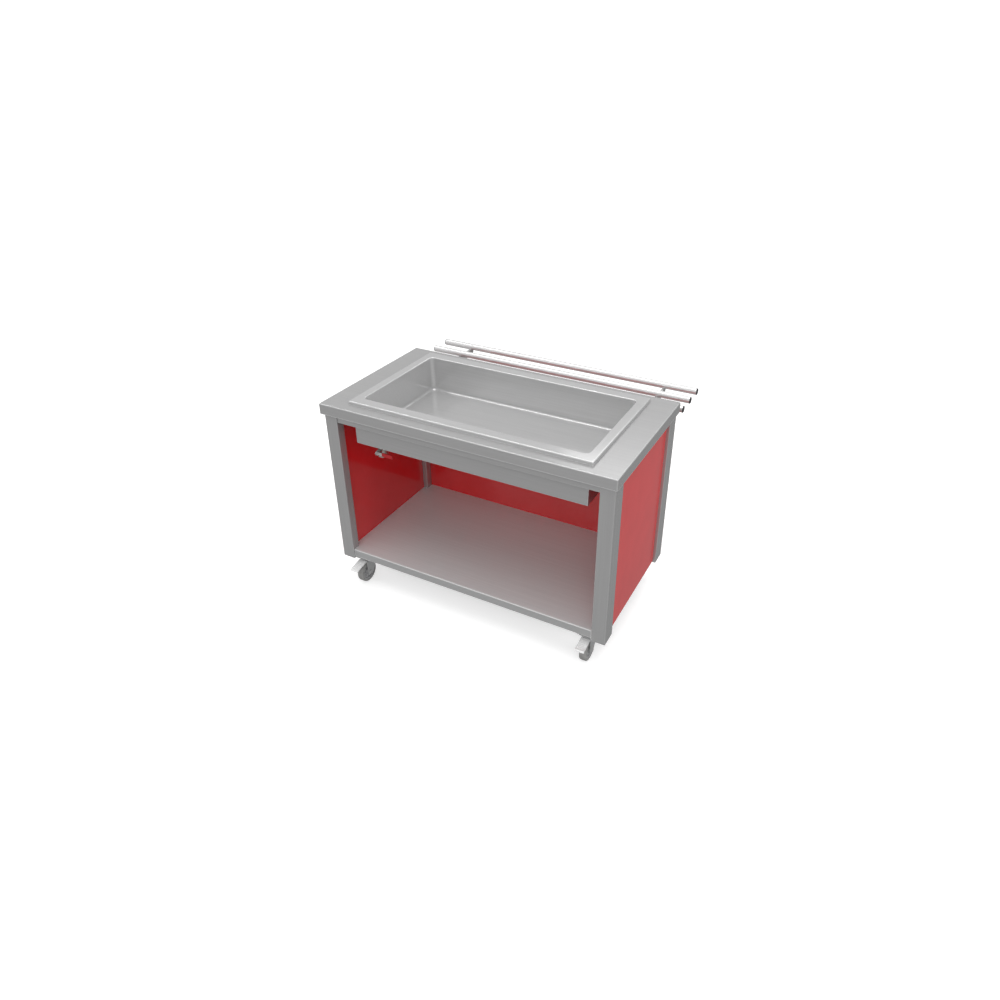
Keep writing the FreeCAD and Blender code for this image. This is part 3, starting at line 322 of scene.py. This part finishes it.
def finishes():
    """Every material of the record by its slot; satin steel has one for each grain and own sheet."""
    made = {
        "polished_steel": bright_metal("polished_steel", tone=0.8, roughness=0.2, metallic=0.6),
        "red_laminate": gloss_laminate(
            "red_laminate", dark=(0.68, 0.009, 0.012), light=(0.74, 0.012, 0.016),
            edge=(0.78, 0.05, 0.05)),
        "foam": foam("foam"),
        "zinc_steel": zinc_plate("zinc_steel", tone=0.62),
        "grey_rubber": moulded(
            "grey_rubber", dark=(0.28, 0.277, 0.272), light=(0.36, 0.356, 0.35),
            roughness=0.6, grain=900.0, depth=0.00012),
        "grey_plastic": moulded(
            "grey_plastic", dark=(0.38, 0.38, 0.385), light=(0.46, 0.46, 0.465),
            roughness=0.45, grain=1200.0, depth=0.00005),
        "black_plastic": moulded(
            "black_plastic", dark=(0.018, 0.018, 0.019), light=(0.03, 0.03, 0.031),
            roughness=0.45, grain=1200.0, depth=0.00005),
        "nickel_brass": bright_metal("nickel_brass", tone=0.5, roughness=0.24, warmth=0.06),
        "red_vinyl": moulded(
            "red_vinyl", dark=(0.42, 0.012, 0.016), light=(0.52, 0.02, 0.025),
            roughness=0.42, grain=700.0, depth=0.00008),
        "seal_rubber": moulded(
            "seal_rubber", dark=(0.02, 0.02, 0.02), light=(0.035, 0.035, 0.035),
            roughness=0.65, grain=900.0, depth=0.00008),
        "chrome_steel": bright_metal("chrome_steel", tone=0.92, roughness=0.2, metallic=0.35),
    }
    for axis, letter in enumerate("xyz"):
        made["satin_steel", axis] = brushed_steel(
            "satin_steel_" + letter, axis, tone=0.485, metallic=0.64, roughness=0.24)
    # The worktop's and well's painted edge highlights reach further than the other steel's.
    made["top_steel"] = brushed_steel(
        "satin_steel_top", axis=0, tone=0.485, metallic=0.64, roughness=0.24, edge=0.0045)
    made["well_steel"] = brushed_steel(
        "satin_steel_well", axis=0, tone=0.6, metallic=0.64, roughness=0.16, edge=0.0045)
    # The shelf's upright faces are painted darker than its top: painted shade.
    made["shelf_steel"] = brushed_steel(
        "satin_steel_shelf", axis=0, tone=0.64, metallic=0.22, roughness=0.33,
        upright=0.67, edge=0.004)
    return made


def dress(made):
    """Give each node of the frame the finish of its slot."""
    for name, thing in nodes.items():
        slot = slot_of[name]
        if name in OWN_FINISH:
            finish = made[OWN_FINISH[name]]
        elif slot == "satin_steel":
            finish = made[slot, longest_axis(name)]
        else:
            finish = made[slot]
        for place in thing.material_slots:
            place.material = finish


def piece(name, mesh_data, body, finish):
    """Finish a mesh as a named piece that rides on a body."""
    mesh = bpy.data.meshes.new(name)
    bmesh.ops.recalc_face_normals(mesh_data, faces=mesh_data.faces)
    mesh_data.to_mesh(mesh)
    mesh_data.free()
    mesh.shade_smooth()
    mesh.set_sharp_from_angle(angle=SHARP_ANGLE)
    mesh.materials.append(finish)
    thing = bpy.data.objects.new(name, mesh)
    bpy.context.scene.collection.objects.link(thing)
    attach(thing, body)
    return thing


def facing(place, direction):
    """A matrix that sets a piece's own Z along a direction, at a place."""
    turn = Vector(direction).to_track_quat("Z", "Y").to_matrix().to_4x4()
    return Matrix.Translation(place) @ turn


def skin_rings(mesh_data, rings, closed):
    """Join rings of points by faces; a closed row of rings comes back to its start."""
    rows = [[mesh_data.verts.new(point) for point in ring] for ring in rings]
    pairs = list(zip(rows, rows[1:]))
    if closed:
        pairs.append((rows[-1], rows[0]))
    else:
        mesh_data.faces.new(rows[0])
        mesh_data.faces.new(rows[-1])
    for first, second in pairs:
        for index in range(len(first)):
            after = (index + 1) % len(first)
            mesh_data.faces.new((first[index], first[after], second[after], second[index]))


def turned(mesh_data, profile, place):
    """A turned solid on its own Z: rows of height, radius and whether the ring is a hexagon."""
    rings = []
    for height, radius, hexagon in profile:
        ring = []
        for index in range(RING_POINTS):
            turn = 2 * math.pi * index / RING_POINTS
            reach = radius
            if hexagon:
                reach *= math.cos(math.pi / 6) / math.cos(turn % (math.pi / 3) - math.pi / 6)
            ring.append(place @ Vector((reach * math.cos(turn), reach * math.sin(turn), height)))
        rings.append(ring)
    skin_rings(mesh_data, rings, closed=False)


def bolt_profile(length, head):
    """A hex bolt with its washer: the shank below zero, the chamfered and dished head above."""
    shank, washer, corners = 0.004, 0.0084, 0.0075
    washer_top = 0.0012
    return [
        (-length, 0.0034, False),
        (0.0006 - length, shank, False),
        (0.0, shank, False),
        (0.0, washer, False),
        (0.0009, washer, False),
        (washer_top, 0.0081, False),
        (washer_top, corners, True),
        (head - 0.0008, corners, True),
        (head, 0.0063, False),
        (head - 0.0004, 0.0046, False),
    ]


def castor_bolts(made):
    """Bolts with washers that hold the castor plates."""
    mesh_data = bmesh.new()
    profile = bolt_profile(CASTOR_BOLT_LENGTH, CASTOR_BOLT_HEAD)
    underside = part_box("castor_plate_front_left")[1].z - CASTOR_PLATE_THICKNESS
    for corner in CORNERS:
        middle = joint_at["swivel_turn_" + corner]
        for x in (middle.x - CASTOR_BOLT_X, middle.x + CASTOR_BOLT_X):
            for y in (middle.y - CASTOR_BOLT_Y, middle.y + CASTOR_BOLT_Y):
                turned(mesh_data, profile, facing((x, y, underside), (0, 0, -1)))
    zinc = made["zinc_steel"]
    bolts = piece("castor_bolts_and_washers", mesh_data, "counter", zinc)
    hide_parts("castor_bolts")


def bracket_bolts(made):
    """Bolts with washers that hold the tray brackets to the back of the frame."""
    mesh_data = bmesh.new()
    low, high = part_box("tray_bracket_bolts")
    seat = high.y - BRACKET_BOLT_HEAD
    profile = bolt_profile(seat - low.y, BRACKET_BOLT_HEAD)
    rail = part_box("tray_rail_front")
    level = (rail[0].z + rail[1].z) / 2
    for side in ("left", "right"):
        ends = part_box("tray_bracket_" + side)
        middle = (ends[0].x + ends[1].x) / 2
        for x in (middle - BRACKET_BOLT_X, middle + BRACKET_BOLT_X):
            for height in BRACKET_BOLT_HEIGHTS:
                turned(mesh_data, profile, facing((x, seat, level + height), (0, 1, 0)))
    zinc = made["zinc_steel"]
    bolts = piece("bracket_bolts_and_washers", mesh_data, "counter", zinc)
    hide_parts("tray_bracket_bolts")


def rail_caps(made):
    """Plugs with a rounded rim in the ends of the tray rails."""
    mesh_data = bmesh.new()
    plug, flange = 0.013, 0.015
    flange_base = -0.003
    profile = [
        (-0.017, 0.0122, False),
        (-0.0162, plug, False),
        (flange_base, plug, False),
        (flange_base, flange, False),
        (-0.0016, flange, False),
        (-0.0007, 0.0146, False),
        (-0.0002, 0.0138, False),
        (0.0, 0.0126, False),
        (0.0, 0.009, False),
        (-0.0006, 0.008, False),
    ]
    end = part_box("tray_rail_caps")[1].x
    for name in ("front", "middle", "back"):
        low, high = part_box("tray_rail_" + name)
        middle = (low + high) / 2
        for side in (-1, 1):
            turned(mesh_data, profile, facing((side * end, middle.y, middle.z), (side, 0, 0)))
    black = made["black_plastic"]
    caps = piece("tray_rail_end_plugs", mesh_data, "counter", black)
    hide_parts("tray_rail_caps")


def bar(mesh_data, corners, chamfer):
    """A tapered bar between two rings of four corners, with chamfered edges."""
    part = bmesh.new()
    skin_rings(part, corners, closed=False)
    bmesh.ops.bevel(
        part, geom=part.edges[:], offset=chamfer, segments=2, affect="EDGES", profile=0.5)
    spare = bpy.data.meshes.new("spare")
    part.to_mesh(spare)
    part.free()
    mesh_data.from_mesh(spare)
    bpy.data.meshes.remove(spare)


def hub_ribs(corner, made):
    """Spokes on both sides of a wheel's web, from the hub to the rim."""
    mesh_data = bmesh.new()
    middle = joint_at["wheel_roll_" + corner]
    for side in (-1, 1):
        for index in range(HUB_RIBS):
            turn = Matrix.Rotation(2 * math.pi * index / HUB_RIBS, 4, "X")
            spin = Matrix.Translation(middle) @ turn
            rings = []
            for radius, half, face in RIB_ENDS:
                crest = half * RIB_TAPER
                ring = [(RIB_ROOT, -half), (RIB_ROOT, half), (face, crest), (face, -crest)]
                rings.append([spin @ Vector((side * out, across, radius)) for out, across in ring])
            bar(mesh_data, rings, RIB_CHAMFER)
    grey_nylon = made["grey_plastic"]
    piece("hub_ribs_" + corner, mesh_data, "wheel_" + corner, grey_nylon)


def pedal_ridges(corner, made):
    """Grip ridges across the sloping tread of a brake pedal."""
    mesh_data = bmesh.new()
    pivot = joint_at["pedal_press_" + corner]
    slope = Vector(TREAD_FALL).normalized()
    rise = Vector((0.0, slope.z, -slope.y))
    for index in range(PEDAL_RIDGES):
        reach = PEDAL_RIDGE_START + PEDAL_RIDGE_STEP * index
        centre = pivot + Vector(TREAD_START) + slope * reach
        rings = []
        for end in (-PEDAL_RIDGE_HALF, PEDAL_RIDGE_HALF):
            middle = centre + Vector((end, 0.0, 0.0))
            rings.append([middle + slope * along + rise * up for along, up in PEDAL_RIDGE_SECTION])
        bar(mesh_data, rings, PEDAL_RIDGE_CHAMFER)
    chrome = made["chrome_steel"]
    piece("pedal_ridges_" + corner, mesh_data, "pedal_" + corner, chrome)


def rounded_loop(half_y, half_z, corner):
    """Points round a rectangle with rounded corners in Y and Z."""
    points = []
    for turn, (sign_y, sign_z) in enumerate(((1, 1), (-1, 1), (-1, -1), (1, -1))):
        for step in range(LOOP_STEPS + 1):
            angle = (turn + step / LOOP_STEPS) * math.pi / 2
            y = sign_y * (half_y - corner) + corner * math.cos(angle)
            points.append((y, sign_z * (half_z - corner) + corner * math.sin(angle)))
    return points


def grip_ridges(made):
    """Raised bands round the sleeve of the valve lever."""
    mesh_data = bmesh.new()
    low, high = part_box("valve_lever_grip")
    middle = (low + high) / 2
    half = (high - low) / 2
    for index in range(GRIP_RIDGES):
        start = low.x + GRIP_RIDGE_START + GRIP_RIDGE_STEP * index
        rings = []
        for along, grow in GRIP_RIDGE_SECTION:
            loop = rounded_loop(half.y + grow, half.z + grow, GRIP_CORNER + grow)
            rings.append([(start + along, middle.y + y, middle.z + z) for y, z in loop])
        skin_rings(mesh_data, rings, closed=True)
    piece("lever_grip_ridges", mesh_data, "valve_handle", made["red_vinyl"])


def details(made):
    """Fine pieces that the frame carries."""
    castor_bolts(made)
    bracket_bolts(made)
    rail_caps(made)
    for corner in CORNERS:
        hub_ribs(corner, made)
    for corner in BRAKED_CORNERS:
        pedal_ridges(corner, made)
    grip_ridges(made)


def camera():
    """The photograph's camera: a turned view direction, focal length and centre."""
    low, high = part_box("worktop")
    middle = (low + high) / 2
    place = (middle.x + CAMERA_OFFSET[0], middle.y + CAMERA_OFFSET[1], CAMERA_HEIGHT)
    yaw = math.radians(CAMERA_YAW)
    pitch = math.radians(CAMERA_PITCH)
    level = Vector((math.sin(yaw), math.cos(yaw), 0.0)) * math.cos(pitch)
    ahead = level + Vector((0.0, 0.0, math.sin(pitch)))
    flat = Vector((math.cos(yaw), -math.sin(yaw), 0.0))
    right = Matrix.Rotation(math.radians(-CAMERA_ROLL), 3, ahead) @ flat
    up = right.cross(ahead)
    lens = bpy.data.cameras.new("photo_camera")
    lens.sensor_width = SENSOR_MM
    lens.lens = FOCAL_PIXELS / IMAGE_PIXELS * SENSOR_MM
    lens.shift_x = 0.5 - CENTRE_PIXEL[0] / IMAGE_PIXELS
    lens.shift_y = CENTRE_PIXEL[1] / IMAGE_PIXELS - 0.5
    thing = bpy.data.objects.new("photo_camera", lens)
    turn = Matrix((right, up, -ahead)).transposed().to_4x4()
    thing.matrix_world = Matrix.Translation(place) @ turn
    bpy.context.scene.collection.objects.link(thing)
    bpy.context.scene.camera = thing


def softbox(name, place, aim, size, power, mirrored=True):
    """A large soft light that faces a point; polished faces may or may not mirror it."""
    light = bpy.data.lights.new(name, "AREA")
    light.shape = "RECTANGLE"
    light.size, light.size_y = size
    light.energy = power
    thing = bpy.data.objects.new(name, light)
    towards = Vector(aim) - Vector(place)
    turn = towards.to_track_quat("-Z", "Y").to_matrix().to_4x4()
    thing.matrix_world = Matrix.Translation(place) @ turn
    thing.visible_camera = False
    thing.visible_glossy = mirrored
    bpy.context.scene.collection.objects.link(thing)


def surround(bands):
    """A white studio as a sum of bands of brightness.

    Each band runs along a direction: where it starts and ends, and its strength at both.
    """
    world = bpy.data.worlds.new("studio")
    world.use_nodes = True
    tree = world.node_tree
    place = tree.nodes.new("ShaderNodeTexCoord").outputs["Generated"]
    background = tree.nodes["Background"]
    background.inputs["Color"].default_value = (1.0, 1.0, 1.0, 1.0)
    strength = None
    for direction, limits in bands:
        along = tree.nodes.new("ShaderNodeVectorMath")
        along.operation = "DOT_PRODUCT"
        tree.links.new(place, along.inputs[0])
        along.inputs[1].default_value = direction
        rise = tree.nodes.new("ShaderNodeMapRange")
        rise.interpolation_type = "SMOOTHSTEP"
        for socket, value in zip(("From Min", "From Max", "To Min", "To Max"), limits):
            rise.inputs[socket].default_value = value
        tree.links.new(along.outputs["Value"], rise.inputs["Value"])
        total = tree.nodes.new("ShaderNodeMath")
        tree.links.new(rise.outputs["Result"], total.inputs[0])
        total.inputs[1].default_value = 0.0
        if strength is not None:
            tree.links.new(strength, total.inputs[1])
        strength = total.outputs["Value"]
    tree.links.new(strength, background.inputs["Strength"])
    bpy.context.scene.world = world
    bpy.context.scene.view_settings.view_transform = "Standard"


def ground(name, rings, filled, glow):
    """Pale studio ground in rings of radius and height, with a glow of its own.

    A filled one has a flat middle and blocks light. Reflections show neither kind.
    """
    corners = []
    for radius, height in rings:
        for index in range(GROUND_SIDES):
            turn = 2 * math.pi * index / GROUND_SIDES
            corners.append((radius * math.cos(turn), radius * math.sin(turn), height))
    faces = [tuple(range(GROUND_SIDES))] if filled else []
    for start in range(0, len(corners) - GROUND_SIDES, GROUND_SIDES):
        for index in range(GROUND_SIDES):
            inner = (start + index, start + (index + 1) % GROUND_SIDES)
            faces.append((*inner, inner[1] + GROUND_SIDES, inner[0] + GROUND_SIDES))
    mesh = bpy.data.meshes.new(name)
    mesh.from_pydata(corners, [], faces)
    paint = Finish(name, {"Roughness": 0.9, "Specular IOR Level": 0.1, "Emission Strength": glow})
    clouds = paint.noise((0.7, 0.7, 0.7), detail=2.0)
    shade = paint.level(clouds, 0.0, 1.0)
    paint.drive("Base Color", paint.mix(shade, grey(0.71), grey(0.73)))
    mesh.materials.append(paint.material)
    thing = bpy.data.objects.new(name, mesh)
    thing.visible_glossy = False
    thing.visible_diffuse = False
    thing.visible_shadow = filled
    bpy.context.scene.collection.objects.link(thing)


def studio():
    """Pale ground, a surround that is dim low down and brighter overhead, and soft lights."""
    up = (0.0, 0.0, 1.0)
    front_left = (-0.485, -0.874, 0.0)
    surround([
        (up, (-0.2, 0.55, 0.37, 0.64)),
        (up, (0.8, 0.97, 0.0, 0.9)),
        (front_left, (-0.8, 0.8, -0.07, 0.1)),
    ])
    ground("pale_floor", ((20.0, 0.0), (40.0, 0.3), (60.0, 8.0)), filled=True, glow=0.5)
    ground("pale_backdrop", ((60.0, 8.0), (64.0, 60.0)), filled=False, glow=1.0)
    softbox(
        "overhead_strip", place=(-1.0, 0.2, 4.6), aim=(-1.0, 0.2, 0.0), size=(6.0, 0.25), power=45.0)
    softbox(
        "overhead_softbox", place=(0.0, -0.2, 4.5), aim=(0.0, -0.2, 0.0), size=(4.0, 4.0),
        power=34.0, mirrored=False)
    softbox(
        "back_softbox", place=(-0.2, 4.0, 3.9), aim=(0.4, -0.3, 0.9), size=(2.6, 0.6), power=9.0)
    softbox(
        "fill_softbox", place=(0.9, -3.9, 3.2), aim=(0.0, -0.2, 0.3), size=(3.2, 2.0), power=58.0,
        mirrored=False)
    softbox(
        "side_softbox", place=(4.6, -0.2, 1.6), aim=(0.6, -0.1, 0.5), size=(2.4, 2.0), power=58.0,
        mirrored=False)


finish_of = finishes()
dress(finish_of)
details(finish_of)
camera()
studio()
